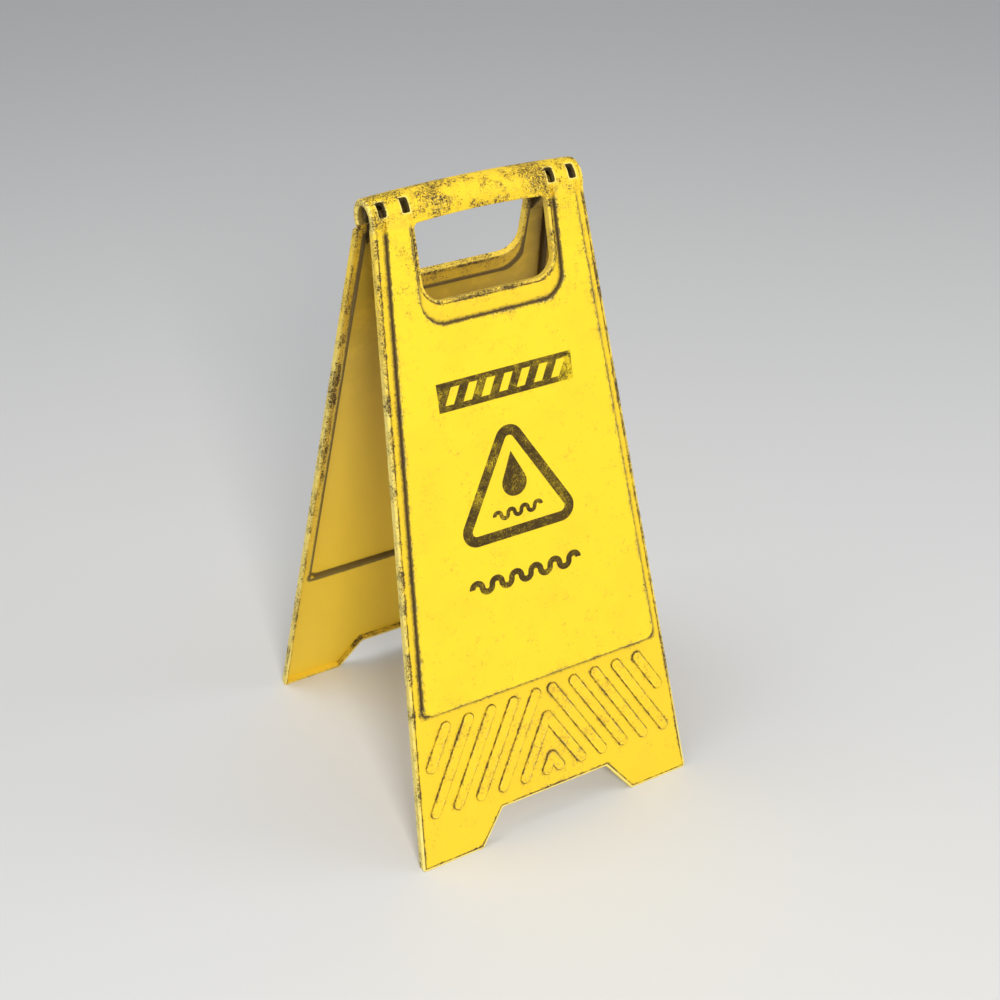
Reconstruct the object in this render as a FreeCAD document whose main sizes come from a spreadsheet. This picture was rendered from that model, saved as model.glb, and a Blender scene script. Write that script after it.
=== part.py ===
import FreeCAD, Part
import math
import os
import re
import Sketcher

# Folding wet floor sign. Two tapered plastic panels stand as a tent, about 29 degrees apart, and
# turn about steel pins under a rounded handle bar, which is part of the front panel's moulding.
#
# Millimetres and degrees. +Z is up, the floor is Z = 0, X is the width, and the origin is on the
# floor midway between the four feet. The front panel faces -Y and the rear panel faces +Y.
#
# Each panel is drawn hanging straight down in its own frame: the hinge axis is that frame's X
# axis, the panel's outer side faces -Y, and its Placement tilts it out to its standing pose.

DIMENSIONS = (
    ("axis_height", 600.0, "hinge axis above the floor"),
    ("panel_tilt", 14.375, "lean of each panel, degrees from vertical"),
    ("face_offset", 17.65, "hinge axis to the panel's outer face"),
    ("skin", 3.0, "wall of the moulding"),
    ("rim_depth", 8.0, "depth of the rim round the panel's edge"),
    ("rim_width", 3.2, "thickness of that rim"),
    ("foot_rim", 6.0, "thickness of the rim under the feet, before they are cut level"),
    ("edge_round", 2.0, "rounding of the outer edges"),
    ("top_half_width", 105.7, "half width of the panel at the hinge axis"),
    ("foot_half_width", 155.0, "half width of the panel at the floor"),
    ("front_top_drop", 6.0, "front panel's top edge below the hinge axis"),
    ("rear_top_drop", 10.0, "rear panel's top edge below the hinge axis, before the stop is cut"),
    ("stop_block", 10.5, "solid block behind that edge, up and down, which meets the stop"),
    ("notch_foot_half", 87.5, "half width of the foot notch at the floor"),
    ("notch_top_half", 60.6, "half width of the foot notch at its top"),
    ("notch_rise", 35.7, "height of the foot notch along the panel"),
    ("foot_round", 4.0, "corners of the feet and the notch"),
    ("field_height", 4.0, "height of the raised field"),
    ("field_margin", 11.0, "raised field to the panel's side edge"),
    ("field_bottom", 465.0, "raised field's lower edge below the axis"),
    ("field_corner", 12.0, "raised field's lower corners"),
    ("field_round", 1.5, "rounding of the raised field's rim"),
    ("field_blend", 12.0, "where the raised field starts to slope back to the handle"),
    ("field_blend_angle", 8.5, "slope of that stretch, degrees from the panel"),
    ("field_reach", 2.0, "raised field's legs run this far above the axis, into the bar"),
    ("recess_half", 73.0, "half width of the lowered surround of the handle opening"),
    ("recess_bottom", 100.5, "lower edge of that surround below the axis"),
    ("recess_corner", 24.0, "its lower corners"),
    ("opening_half", 67.0, "half width of the handle opening"),
    ("opening_top", 8.6, "upper corners of the handle opening below the axis"),
    ("opening_rise", 2.6, "rise of the opening's upper edge at mid width"),
    ("opening_bottom", 80.0, "lower edge of the handle opening below the axis"),
    ("opening_corner", 20.0, "its lower corners"),
    ("opening_shoulder", 5.0, "its upper corners"),
    ("opening_round", 1.5, "rounding of its edges"),
    ("opening_back", 4.0, "the bar's wall is cut back to this far in front of the axis"),
    ("bar_radius", 19.0, "outer radius of the handle bar"),
    ("bar_wall", 6.5, "wall of the handle bar"),
    ("bar_half", 107.0, "half length of the handle bar"),
    ("bar_rise", 3.3, "upward bow of the handle bar at mid width"),
    ("bar_front_end", 16.0, "handle bar's front wall ends this far below the axis"),
    ("bar_end_round", 2.2, "rounding of the bar's open ends"),
    ("lip_angle", -19.6, "rear lip of the bar above the axis, seen from the front panel, degrees"),
    ("lip_allowance", 14.0, "bar drawn this far past its lip before that is cut straight, degrees"),
    ("lip_start", 9.0, "the straight cut starts this far behind the axis"),
    ("stop_angle", 49.9, "rear panel's top face below the axis, seen from that panel, degrees"),
    ("stop_start", 4.0, "that face starts this far in front of the axis"),
    ("dent_half_length", 25.0, "half length of the body that presses the grip's shallow oval"),
    ("dent_half_height", 12.0, "half height of that body"),
    ("dent_reach", 4.0, "half depth of that body"),
    ("dent_depth", 1.3, "depth of the oval"),
    ("dent_angle", 22.0, "oval above the panel's outward direction, degrees"),
    ("window_inner", 73.2, "hinge window and boss nearer the middle"),
    ("window_outer", 95.5, "hinge window and boss nearer the end"),
    ("window_width", 7.6, "hinge window across"),
    ("window_height", 14.2, "hinge window up and down"),
    ("window_angle", 29.0, "hinge window above the panel's outward direction, degrees"),
    ("window_round", 2.0, "corners of the hinge window"),
    ("window_floor", 8.0, "hinge windows are cut in to this far from the axis"),
    ("boss_radius", 7.0, "hinge bosses"),
    ("boss_width", 5.0, "width of each front boss"),
    ("boss_bite", 2.0, "overlap of a boss's arm with the bar's wall"),
    ("arm_top", 0.5, "top of the boss and knuckle arms above the axis"),
    ("web_place", 100.8, "web that closes the upper half of the bar's bore, from mid width"),
    ("web_wall", 2.0, "thickness of that web"),
    ("web_hole", 5.2, "radius of its gap, which the pin's head passes"),
    ("knuckle_width", 15.8, "width of each rear knuckle"),
    ("neck_front", 10.6, "front of a knuckle's neck, outwards from the axis"),
    ("neck_front_foot", 4.4, "lower end of that front, below the axis"),
    ("neck_waist", 7.3, "front of the waist that passes the bar's lip, outwards"),
    ("neck_waist_drop", 9.0, "height of that waist below the axis"),
    ("neck_back", 2.0, "back of the neck's top, inwards from the axis"),
    ("neck_back_foot", 4.5, "back of the neck's foot, inwards from the axis"),
    ("neck_back_drop", 5.5, "height of that foot below the axis"),
    ("arm_front", 15.0, "front of a knuckle's arm where it clears the bar, outwards"),
    ("arm_clear", 18.5, "height of that corner below the axis"),
    ("arm_root", 24.0, "arm meets the raised field this far below the axis"),
    ("arm_foot", 38.0, "lower end of a knuckle's arm below the axis"),
    ("arm_bite", 0.5, "overlap of the arm with the raised field's wall"),
    ("pin_radius", 2.5, "hinge pin"),
    ("press_grip", 0.01, "how much smaller the front bosses' bores are than the pin"),
    ("running_gap", 0.05, "how much larger the knuckle's bore is than the pin"),
    ("pin_head_radius", 4.5, "hinge pin's head"),
    ("pin_head", 1.6, "thickness of that head"),
    ("pin_tail", 1.6, "hinge pin past its retaining ring"),
    ("ring_radius", 5.2, "push-on retaining ring"),
    ("ring_wall", 0.8, "thickness of that ring"),
    ("rib_height", 1.5, "chevron ribs"),
    ("rib_radius", 5.3, "half width of a rib"),
    ("rib_round", 0.9, "rounding of a rib's crest"),
    ("rib_pitch", 25.0, "spacing of the ribs across the panel"),
    ("rib_first", 9.3, "first long rib's upper end from mid width"),
    ("rib_top", 481.0, "upper ends of the ribs below the axis"),
    ("rib_bottom", 566.0, "lower ends of the ribs below the axis"),
    ("rib_short_bottom", 518.0, "lower end of the outermost rib"),
    ("rib_lean", 0.567, "sideways run of a rib for each millimetre down"),
    ("rear_hollow", 27.0, "hollow behind the rear panel's raised field starts this far down"),
    ("ink", 0.2, "thickness of the printed ink"),
    ("print_centre", -4.5, "mid width of the lower prints"),
    ("banner_half", 70.5, "half width of the banner"),
    ("banner_top", 152.0, "banner's upper edge below the axis"),
    ("banner_height", 27.0, "banner up and down"),
    ("stripe_height", 16.0, "clear stripes in the banner, up and down"),
    ("stripe_width", 9.0, "clear stripes, across"),
    ("stripe_lean", 8.0, "sideways run of a clear stripe"),
    ("stripe_pitch", 18.5, "spacing of the clear stripes"),
    ("triangle_middle", 272.6, "middle of the triangle below the axis"),
    ("triangle_side", 90.0, "side through the centres of its round corners"),
    ("triangle_outer", 15.0, "outer radius of its corners"),
    ("triangle_inner", 5.0, "inner radius of its corners"),
    ("drop_middle", 262.0, "centre of the water drop's round end below the axis"),
    ("drop_radius", 13.0, "round end of the water drop"),
    ("drop_tip", 31.0, "tip of the drop above that centre"),
    ("puddle_middle", 290.0, "ripple under the drop, below the axis"),
    ("puddle_outer", 5.6, "outer radius of its waves"),
    ("puddle_inner", 1.6, "inner radius of its waves"),
    ("wave_middle", 354.0, "row of waves below the axis"),
    ("wave_outer", 8.3, "outer radius of its waves"),
    ("wave_inner", 2.3, "inner radius of its waves"),
)
STRIPE_COUNT = 7
PUDDLE_WAVES = 7
ROW_WAVES = 11
LONG_RIBS = 4
BEYOND = 200.0  # well outside every part in depth and height
CLEAR = 10.0  # how far a cutting outline runs past what it cuts
TOUCH = 1e-4  # two edges this close are the same
NEAR = 0.5  # an edge this close to a height belongs to it
PARTS_FOLDER = "parts"
SIDES = (-1, 1)

# Lengths that several sub-parts share, worked out from the driving dimensions.
PANEL_LENGTH = "((axis_height + face_offset * sin(panel_tilt)) / cos(panel_tilt))"
TAPER = f"((foot_half_width - top_half_width) / {PANEL_LENGTH})"
FIELD_FACE = "(face_offset + field_height)"

doc = FreeCAD.newDocument("wet_floor_sign")
sheet = doc.addObject("Spreadsheet::Sheet", "Dimensions")
for row, (alias, number, meaning) in enumerate(DIMENSIONS, start=1):
    sheet.set(f"A{row}", alias)
    sheet.set(f"B{row}", str(number))
    sheet.set(f"C{row}", meaning)
    sheet.setAlias(f"B{row}", alias)
doc.recompute()

ALIASES = re.compile(r"\b(" + "|".join(alias for alias, _, _ in DIMENSIONS) + r")\b")


def bound(formula):
    """The formula with each alias pointing at its cell."""
    return ALIASES.sub(r"Dimensions.\1", str(formula))


def value(formula):
    """The formula's number, from the sheet."""
    return float(sheet.evalExpression(bound(formula)))


def bind(thing, path, formula):
    """Tie one property of an object to the sheet."""
    thing.setExpression(path, bound(formula))


def half_width(drop):
    """Half the panel's width at a distance below the hinge axis."""
    return f"(top_half_width + {TAPER} * ({drop}))"


# ---- sketches -------------------------------------------------------------------------------

def new_sketch(body, name, role, offset="0"):
    """A sketch on one of the body's origin planes, moved along that plane's normal."""
    plane = [feature for feature in body.Origin.OriginFeatures if feature.Role == role][0]
    sketch = body.newObject("Sketcher::SketchObject", name)
    sketch.AttachmentSupport = [(plane, "")]
    sketch.MapMode = "FlatFace"
    bind(sketch, "AttachmentOffset.Base.z", offset)
    return sketch


def face_sketch(body, name, offset):
    """A sketch facing the panel: across and up, at a distance from the hinge axis."""
    return new_sketch(body, name, "XZ_Plane", offset)


def side_sketch(body, name, offset="0"):
    """A sketch seen from the panel's side: depth and up."""
    return new_sketch(body, name, "YZ_Plane", offset)


def pin_point(sketch, line, end, across, up):
    """Hold a line's or arc's point at two formulas, measured from the sketch's origin."""
    for kind, formula in (("DistanceX", across), ("DistanceY", up)):
        rule = Sketcher.Constraint(kind, -1, 1, line, end, value(formula))
        bind(sketch, f"Constraints[{sketch.addConstraint(rule)}]", formula)


def hold(sketch, kind, element, formula):
    """A radius or angle constraint bound to a formula."""
    rule = Sketcher.Constraint(kind, element, value(formula))
    bind(sketch, f"Constraints[{sketch.addConstraint(rule)}]", formula)


def polygon(sketch, corners):
    """A closed outline through corners given as (across, up) formulas."""
    spots = [FreeCAD.Vector(value(across), value(up), 0) for across, up in corners]
    lines = []
    for start, end in zip(spots, spots[1:] + spots[:1]):
        lines.append(sketch.addGeometry(Part.LineSegment(start, end), False))
    for line, following in zip(lines, lines[1:] + lines[:1]):
        sketch.addConstraint(Sketcher.Constraint("Coincident", line, 2, following, 1))
    for line, (across, up) in zip(lines, corners):
        pin_point(sketch, line, 1, across, up)


def sketch_arc(sketch, centre, normal, radius, begin, end):
    """An arc of a circle in a sketch."""
    return sketch.addGeometry(Part.ArcOfCircle(Part.Circle(centre, normal, radius), begin, end))


def circle(sketch, across, up, radius):
    """A circle with its centre and radius given as formulas."""
    centre = FreeCAD.Vector(value(across), value(up), 0)
    ring = Part.Circle(centre, FreeCAD.Vector(0, 0, 1), value(radius))
    element = sketch.addGeometry(ring, False)
    pin_point(sketch, element, 3, across, up)
    hold(sketch, "Radius", element, radius)


def capsule(sketch, start, end, radius):
    """A rib's outline: two half circles joined by straight sides."""
    first = FreeCAD.Vector(value(start[0]), value(start[1]), 0)
    last = FreeCAD.Vector(value(end[0]), value(end[1]), 0)
    along = math.atan2(last.y - first.y, last.x - first.x)
    across = FreeCAD.Vector(-math.sin(along), math.cos(along), 0) * value(radius)
    normal = FreeCAD.Vector(0, 0, 1)
    half = math.pi / 2
    start_circle = Part.Circle(first, normal, value(radius))
    end_circle = Part.Circle(last, normal, value(radius))
    start_arc = sketch.addGeometry(Part.ArcOfCircle(start_circle, along + half, along + 3 * half))
    end_arc = sketch.addGeometry(Part.ArcOfCircle(end_circle, along - half, along + half))
    right = sketch.addGeometry(Part.LineSegment(first - across, last - across))
    left = sketch.addGeometry(Part.LineSegment(last + across, first + across))
    for one, one_end, other, other_end in (
        (start_arc, 2, right, 1),
        (right, 2, end_arc, 1),
        (end_arc, 2, left, 1),
        (left, 2, start_arc, 1),
    ):
        sketch.addConstraint(Sketcher.Constraint("Tangent", one, one_end, other, other_end))
    pin_point(sketch, start_arc, 3, *start)
    pin_point(sketch, end_arc, 3, *end)
    hold(sketch, "Radius", start_arc, radius)


def round_bottomed(sketch, half, top, low, radius):
    """A rectangle about mid width, with its two lower corners rounded."""
    wide, high, base, bend = (value(formula) for formula in (half, top, low, radius))
    normal = FreeCAD.Vector(0, 0, 1)
    right_centre = FreeCAD.Vector(wide - bend, base + bend, 0)
    left_centre = FreeCAD.Vector(bend - wide, base + bend, 0)
    across = FreeCAD.Vector(bend, 0, 0)
    down = FreeCAD.Vector(0, -bend, 0)
    top_left = FreeCAD.Vector(-wide, high, 0)
    top_right = FreeCAD.Vector(wide, high, 0)
    quarter = math.pi / 2
    edges = (
        Part.LineSegment(top_right, top_left),
        Part.LineSegment(top_left, left_centre - across),
        Part.ArcOfCircle(Part.Circle(left_centre, normal, bend), 2 * quarter, 3 * quarter),
        Part.LineSegment(left_centre + down, right_centre + down),
        Part.ArcOfCircle(Part.Circle(right_centre, normal, bend), 3 * quarter, 4 * quarter),
        Part.LineSegment(right_centre + across, top_right),
    )
    rim, west, west_bend, floor, east_bend, east = (sketch.addGeometry(edge) for edge in edges)
    for one, other in ((rim, west), (east, rim)):
        sketch.addConstraint(Sketcher.Constraint("Coincident", one, 2, other, 1))
    for one, other in ((west, west_bend), (west_bend, floor), (floor, east_bend), (east_bend, east)):
        sketch.addConstraint(Sketcher.Constraint("Tangent", one, 2, other, 1))
    pin_point(sketch, rim, 1, half, top)
    pin_point(sketch, rim, 2, f"-{half}", top)
    pin_point(sketch, west_bend, 3, f"-({half} - {radius})", f"{low} + {radius}")
    pin_point(sketch, east_bend, 3, f"{half} - {radius}", f"{low} + {radius}")
    hold(sketch, "Radius", west_bend, radius)
    hold(sketch, "Radius", east_bend, radius)


def half_ring(sketch, across, up, outer, inner, rising):
    """Half a flat ring, arched upwards when rising and downwards when not."""
    centre = FreeCAD.Vector(value(across), value(up), 0)
    normal = FreeCAD.Vector(0, 0, 1)
    begin = 0.0 if rising else math.pi
    arcs = []
    for radius in (outer, inner):
        ring = Part.Circle(centre, normal, value(radius))
        arcs.append(sketch.addGeometry(Part.ArcOfCircle(ring, begin, begin + math.pi)))
    big, small = arcs
    turn = 1 if rising else -1
    reach = FreeCAD.Vector(turn, 0, 0)
    near = Part.LineSegment(centre + reach * value(inner), centre + reach * value(outer))
    far = Part.LineSegment(centre - reach * value(outer), centre - reach * value(inner))
    near_line = sketch.addGeometry(near)
    far_line = sketch.addGeometry(far)
    for one, one_end, other, other_end in (
        (near_line, 2, big, 1),
        (big, 2, far_line, 1),
        (far_line, 2, small, 2),
        (small, 1, near_line, 1),
        (big, 3, small, 3),
    ):
        sketch.addConstraint(Sketcher.Constraint("Coincident", one, one_end, other, other_end))
    for line in (near_line, far_line):
        sketch.addConstraint(Sketcher.Constraint("Horizontal", line))
        sketch.addConstraint(Sketcher.Constraint("PointOnObject", big, 3, line))
    pin_point(sketch, big, 3, across, up)
    hold(sketch, "Radius", big, outer)
    hold(sketch, "Radius", small, inner)


# ---- features -------------------------------------------------------------------------------

def sweep_straight(body, kind, name, sketch, length, reverse=False, both_ways=False):
    """A Pad or Pocket of a sketch, which must change the body's volume."""
    before = body.Tip.Shape.Volume if body.Tip else 0.0
    feature = body.newObject(f"PartDesign::{kind}", name)
    feature.Profile = sketch
    feature.Reversed = reverse
    if both_ways:
        feature.SideType = "Symmetric"
    bind(feature, "Length", length)
    doc.recompute()
    check_change(feature, before)
    return feature


def check_change(feature, before):
    """Stop if a feature failed or did nothing."""
    if "Invalid" in feature.State or "Error" in feature.State:
        raise RuntimeError(f"{feature.Name} failed: {feature.State}")
    if feature.Shape.isNull() or abs(feature.Shape.Volume - before) < TOUCH:
        raise RuntimeError(f"{feature.Name} changed nothing")


def pad(body, name, sketch, length, **options):
    """Add material along the sketch's normal."""
    return sweep_straight(body, "Pad", name, sketch, length, **options)


def pocket(body, name, sketch, length, **options):
    """Remove material against the sketch's normal."""
    return sweep_straight(body, "Pocket", name, sketch, length, **options)


def mirror(body, name, features):
    """Repeat features on the other side of mid width."""
    before = body.Tip.Shape.Volume
    plane = [feature for feature in body.Origin.OriginFeatures if feature.Role == "YZ_Plane"][0]
    feature = body.newObject("PartDesign::Mirrored", name)
    feature.Originals = features
    feature.MirrorPlane = (plane, [""])
    body.Tip = feature
    doc.recompute()
    check_change(feature, before)
    return feature


def repeat_across(body, name, features, count, pitch):
    """Repeat features across the panel."""
    before = body.Tip.Shape.Volume
    axis = [feature for feature in body.Origin.OriginFeatures if feature.Role == "X_Axis"][0]
    feature = body.newObject("PartDesign::LinearPattern", name)
    feature.Originals = features
    feature.Direction = (axis, [""])
    feature.Occurrences = count
    bind(feature, "Length", f"{count - 1} * ({pitch})")
    body.Tip = feature
    doc.recompute()
    check_change(feature, before)
    return feature


def round_edges(body, name, radius, wanted):
    """Round every edge of the body that the test picks out."""
    base = body.Tip
    names = []
    for number, edge in enumerate(base.Shape.Edges, start=1):
        if wanted(edge):
            names.append(f"Edge{number}")
    feature = body.newObject("PartDesign::Fillet", name)
    feature.Base = (base, names)
    bind(feature, "Radius", radius)
    doc.recompute()
    check_change(feature, base.Shape.Volume)
    return feature


def along(edge, direction):
    """Whether an edge is straight and runs in a direction."""
    if not isinstance(edge.Curve, Part.Line):
        return False
    return abs(abs(edge.Curve.Direction.dot(direction)) - 1.0) < TOUCH


def through_wall(edge):
    """Whether an edge runs straight through the panel."""
    return along(edge, FreeCAD.Vector(0, 1, 0))


def in_plane(edge, depth):
    """Whether an edge lies in the plane at a depth in front of the hinge axis."""
    box = edge.BoundBox
    return abs(box.YMin + depth) < TOUCH and abs(box.YMax + depth) < TOUCH


# ---- what both panels share -----------------------------------------------------------------

def panel_blank(body, top_drop, top_rim):
    """The tapered face with its foot notch, hollowed from inside to leave a rim."""
    length = PANEL_LENGTH
    notch_top = f"({length} - notch_rise)"
    outline = face_sketch(body, f"{body.Name}_outline", "face_offset")
    polygon(outline, (
        (f"-{half_width(top_drop)}", f"-{top_drop}"),
        (half_width(top_drop), f"-{top_drop}"),
        ("foot_half_width", f"-{length}"),
        ("notch_foot_half", f"-{length}"),
        ("notch_top_half", f"-{notch_top}"),
        ("-notch_top_half", f"-{notch_top}"),
        ("-notch_foot_half", f"-{length}"),
        ("-foot_half_width", f"-{length}"),
    ))
    pad(body, f"{body.Name}_slab", outline, "rim_depth", reverse=True)
    feet = value(f"-{length} + notch_rise + {NEAR}")
    round_edges(
        body, f"{body.Name}_foot_corners", "foot_round",
        lambda edge: through_wall(edge) and edge.BoundBox.ZMax < feet,
    )
    face = value("face_offset")
    under_top = value(f"-{top_drop} - {NEAR}")
    round_edges(
        body, f"{body.Name}_edge_round", "edge_round",
        lambda edge: in_plane(edge, face) and edge.BoundBox.ZMin < under_top,
    )
    splay = "((notch_foot_half - notch_top_half) / notch_rise)"
    slant = f"(sqrt(1 + {splay}^2) * rim_width)"
    hollow = face_sketch(body, f"{body.Name}_hollow_outline", "face_offset - skin")
    low = f"({length} - foot_rim)"
    top = f"({top_drop} + {top_rim})"
    inner_notch_top = f"({notch_top} - rim_width)"
    foot_inner = f"(notch_top_half + {slant} + {splay} * (notch_rise - foot_rim))"
    notch_inner = f"(notch_top_half + {slant} - {splay} * rim_width)"
    right = (
        (f"({half_width(top)} - rim_width)", f"-{top}"),
        (f"({half_width(low)} - rim_width)", f"-{low}"),
        (foot_inner, f"-{low}"),
        (notch_inner, f"-{inner_notch_top}"),
    )
    left = tuple((f"-{across}", up) for across, up in reversed(right))
    polygon(hollow, right + left)
    pocket(body, f"{body.Name}_hollow", hollow, BEYOND)


def field_corners(inset, top):
    """Corners of the raised field, a U round the handle opening, drawn in by an inset."""
    low = f"(field_bottom - {inset})"
    right = (
        (f"(recess_half + {inset})", f"-({top})"),
        (f"({half_width(top)} - field_margin - {inset})", f"-({top})"),
        (f"({half_width(low)} - field_margin - {inset})", f"-{low}"),
    )
    left = tuple((f"-{across}", up) for across, up in reversed(right))
    dip = f"-(recess_bottom + {inset})"
    floor = ((f"-(recess_half + {inset})", dip), (f"(recess_half + {inset})", dip))
    return right + left + floor


def raised_field(body, hollow_top):
    """The raised field with its rounded rim, sloped back to the handle at the top."""
    name = body.Name
    outline = face_sketch(body, f"{name}_field_outline", "face_offset")
    polygon(outline, field_corners("0", "-field_reach"))
    pad(body, f"{name}_field", outline, "field_height")
    base = value("face_offset")
    bottom = value("-field_bottom")
    dip = value("-recess_bottom")

    def on_step(edge, height):
        box = edge.BoundBox
        return through_wall(edge) and box.YMax < TOUCH - base and abs(box.ZMin - height) < NEAR

    round_edges(body, f"{name}_field_corners", "field_corner", lambda edge: on_step(edge, bottom))
    round_edges(body, f"{name}_recess_corners", "recess_corner", lambda edge: on_step(edge, dip))

    # The upper ends of the two legs slope back so that they run into the handle bar.
    slope = side_sketch(body, f"{name}_blend_outline")
    rise = "(field_blend + field_reach + field_blend)"
    lean = f"{rise} * tan(field_blend_angle)"
    polygon(slope, (
        (f"-{FIELD_FACE}", "-field_blend"),
        (f"-({FIELD_FACE} + {CLEAR})", "-field_blend"),
        (f"-({FIELD_FACE} + {CLEAR})", f"{rise} - field_blend"),
        (f"-({FIELD_FACE} - {lean})", f"{rise} - field_blend"),
    ))
    pocket(body, f"{name}_blend", slope, 2 * BEYOND, both_ways=True)
    crest = value(FIELD_FACE)
    level = value(f"-field_blend - {NEAR}")
    round_edges(
        body, f"{name}_field_round", "field_round",
        lambda edge: in_plane(edge, crest) and edge.BoundBox.ZMin < level,
    )
    inside = face_sketch(body, f"{name}_field_inside_outline", f"{FIELD_FACE} - skin")
    polygon(inside, field_corners("skin", hollow_top))
    pocket(body, f"{name}_field_inside", inside, f"field_height + {TOUCH}")


def handle_opening(body, top):
    """The handle opening, run out at the top, with a rim behind it like the one at the edge."""
    name = body.Name
    collar = face_sketch(body, f"{name}_collar_outline", "face_offset - skin")
    round_bottomed(
        collar, "(opening_half + rim_width)", f"-{top}", "-(opening_bottom + rim_width)",
        "(opening_corner + rim_width)",
    )
    pad(body, f"{name}_collar", collar, "rim_depth - skin", reverse=True)
    cut = face_sketch(body, f"{name}_opening_outline", f"{FIELD_FACE} + {CLEAR}")
    round_bottomed(cut, "opening_half", f"{CLEAR}", "-opening_bottom", "opening_corner")
    pocket(body, f"{name}_opening", cut, BEYOND)
    round_opening(body)


def round_opening(body):
    """Round the opening's outer edges."""
    reach = value("opening_half") + TOUCH
    lowest = value("-opening_bottom") - TOUCH
    face = value("face_offset")

    def outer_edge(edge):
        box = edge.BoundBox
        inside = max(-box.XMin, box.XMax) < reach and box.ZMin > lowest
        return in_plane(edge, face) and inside

    round_edges(body, f"{body.Name}_opening_round", "opening_round", outer_edge)


def level_feet(body):
    """Cut the feet level, so that they stand flat on the floor when the panel leans."""
    def floor_at(depth):
        return f"-((axis_height + ({depth}) * sin(panel_tilt)) / cos(panel_tilt))"

    under = side_sketch(body, f"{body.Name}_floor_outline")
    front = f"{FIELD_FACE} + {CLEAR}"
    low = f"{floor_at(front)} - {CLEAR}"
    polygon(under, (
        (f"-({front})", floor_at(front)),
        ("0", floor_at("0")),
        ("0", low),
        (f"-({front})", low),
    ))
    pocket(body, f"{body.Name}_floor", under, 2 * BEYOND, both_ways=True)


def chevron_ribs(body):
    """Slanted ribs below the field. The two nearest mid width meet as chevrons."""
    sketch = face_sketch(body, f"{body.Name}_rib_outline", "face_offset")
    run = "(rib_bottom - rib_top) * rib_lean"
    for number in range(LONG_RIBS):
        start = f"(rib_first + {number} * rib_pitch)"
        capsule(sketch, (start, "-rib_top"), (f"{start} + {run}", "-rib_bottom"), "rib_radius")
    start = f"(rib_first + {LONG_RIBS} * rib_pitch)"
    short_run = "(rib_short_bottom - rib_top) * rib_lean"
    capsule(sketch, (start, "-rib_top"), (f"{start} + {short_run}", "-rib_short_bottom"), "rib_radius")
    for number in (1, 2):
        end = f"(rib_first + {run} - {number} * rib_pitch)"
        drop = f"(rib_bottom - {end} / rib_lean)"
        capsule(sketch, ("0", f"-{drop}"), (end, "-rib_bottom"), "rib_radius")
    ribs = pad(body, f"{body.Name}_ribs", sketch, "rib_height")
    mirror(body, f"{body.Name}_ribs_both", [ribs])
    crest = value("face_offset + rib_height")
    round_edges(body, f"{body.Name}_rib_round", "rib_round", lambda edge: in_plane(edge, crest))


# ---- front panel ----------------------------------------------------------------------------

def handle_bar(body):
    """The bowed, open-ended handle bar, an inverted U turned about a far axis below it."""
    name = body.Name
    profile = side_sketch(body, f"{name}_bar_profile")
    centre_up = "bar_rise"
    outer = "bar_radius"
    inner = "(bar_radius - bar_wall)"
    hub = FreeCAD.Vector(0, value(centre_up), 0)
    normal = FreeCAD.Vector(0, 0, 1)
    face = value("face_offset")
    back = value("face_offset - bar_wall")
    foot = value("bar_front_end - bar_rise")

    def wall_angle(depth, radius):
        return math.pi + math.acos(depth / radius)

    big_end = wall_angle(face, value(outer))
    small_end = wall_angle(back, value(inner))
    lip = math.radians(value("lip_angle - lip_allowance"))
    big = sketch_arc(profile, hub, normal, value(outer), lip, big_end)
    small = sketch_arc(profile, hub, normal, value(inner), lip, small_end)

    def spot(radius, angle):
        return hub + FreeCAD.Vector(math.cos(angle), math.sin(angle), 0) * radius

    lip_line = profile.addGeometry(Part.LineSegment(spot(value(inner), lip), spot(value(outer), lip)))
    out_top = spot(value(outer), big_end)
    in_top = spot(value(inner), small_end)
    out_foot = FreeCAD.Vector(-face, -foot, 0)
    in_foot = FreeCAD.Vector(-back, -foot, 0)
    out_line = profile.addGeometry(Part.LineSegment(out_top, out_foot))
    foot_line = profile.addGeometry(Part.LineSegment(out_foot, in_foot))
    in_line = profile.addGeometry(Part.LineSegment(in_foot, in_top))
    for one, one_end, other, other_end in (
        (big, 2, out_line, 1),
        (out_line, 2, foot_line, 1),
        (foot_line, 2, in_line, 1),
        (in_line, 2, small, 2),
        (small, 1, lip_line, 1),
        (lip_line, 2, big, 1),
        (big, 3, small, 3),
    ):
        profile.addConstraint(Sketcher.Constraint("Coincident", one, one_end, other, other_end))
    pin_point(profile, big, 3, "0", centre_up)
    hold(profile, "Radius", big, outer)
    hold(profile, "Radius", small, inner)
    pin_point(profile, out_line, 2, "-face_offset", "-(bar_front_end - bar_rise)")
    pin_point(profile, foot_line, 2, "-(face_offset - bar_wall)", "-(bar_front_end - bar_rise)")
    for line in (out_line, in_line):
        profile.addConstraint(Sketcher.Constraint("Vertical", line))
    profile.addConstraint(Sketcher.Constraint("PointOnObject", big, 3, lip_line))
    lean = profile.addConstraint(Sketcher.Constraint("Angle", lip_line, lip))
    bind(profile, f"Constraints[{lean}]", "lip_angle - lip_allowance")

    # The far axis below the bar, whose distance gives the bow.
    bow = "(bar_half^2 / (2 * bar_rise))"
    pivot = value(f"bar_rise - {bow}")
    reach = FreeCAD.Vector(value(outer), 0, 0)
    centre = FreeCAD.Vector(0, pivot, 0)
    axis = profile.addGeometry(Part.LineSegment(centre - reach, centre + reach), True)
    pin_point(profile, axis, 1, f"-{outer}", f"bar_rise - {bow}")
    pin_point(profile, axis, 2, outer, f"bar_rise - {bow}")

    bar = body.newObject("PartDesign::Revolution", f"{name}_bar")
    bar.Profile = profile
    bar.ReferenceAxis = (profile, ["Axis0"])
    bar.Midplane = True
    bind(bar, "Angle", f"2 * asin((bar_half + {CLEAR}) / {bow})")
    doc.recompute()
    check_change(bar, 0.0)


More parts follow.
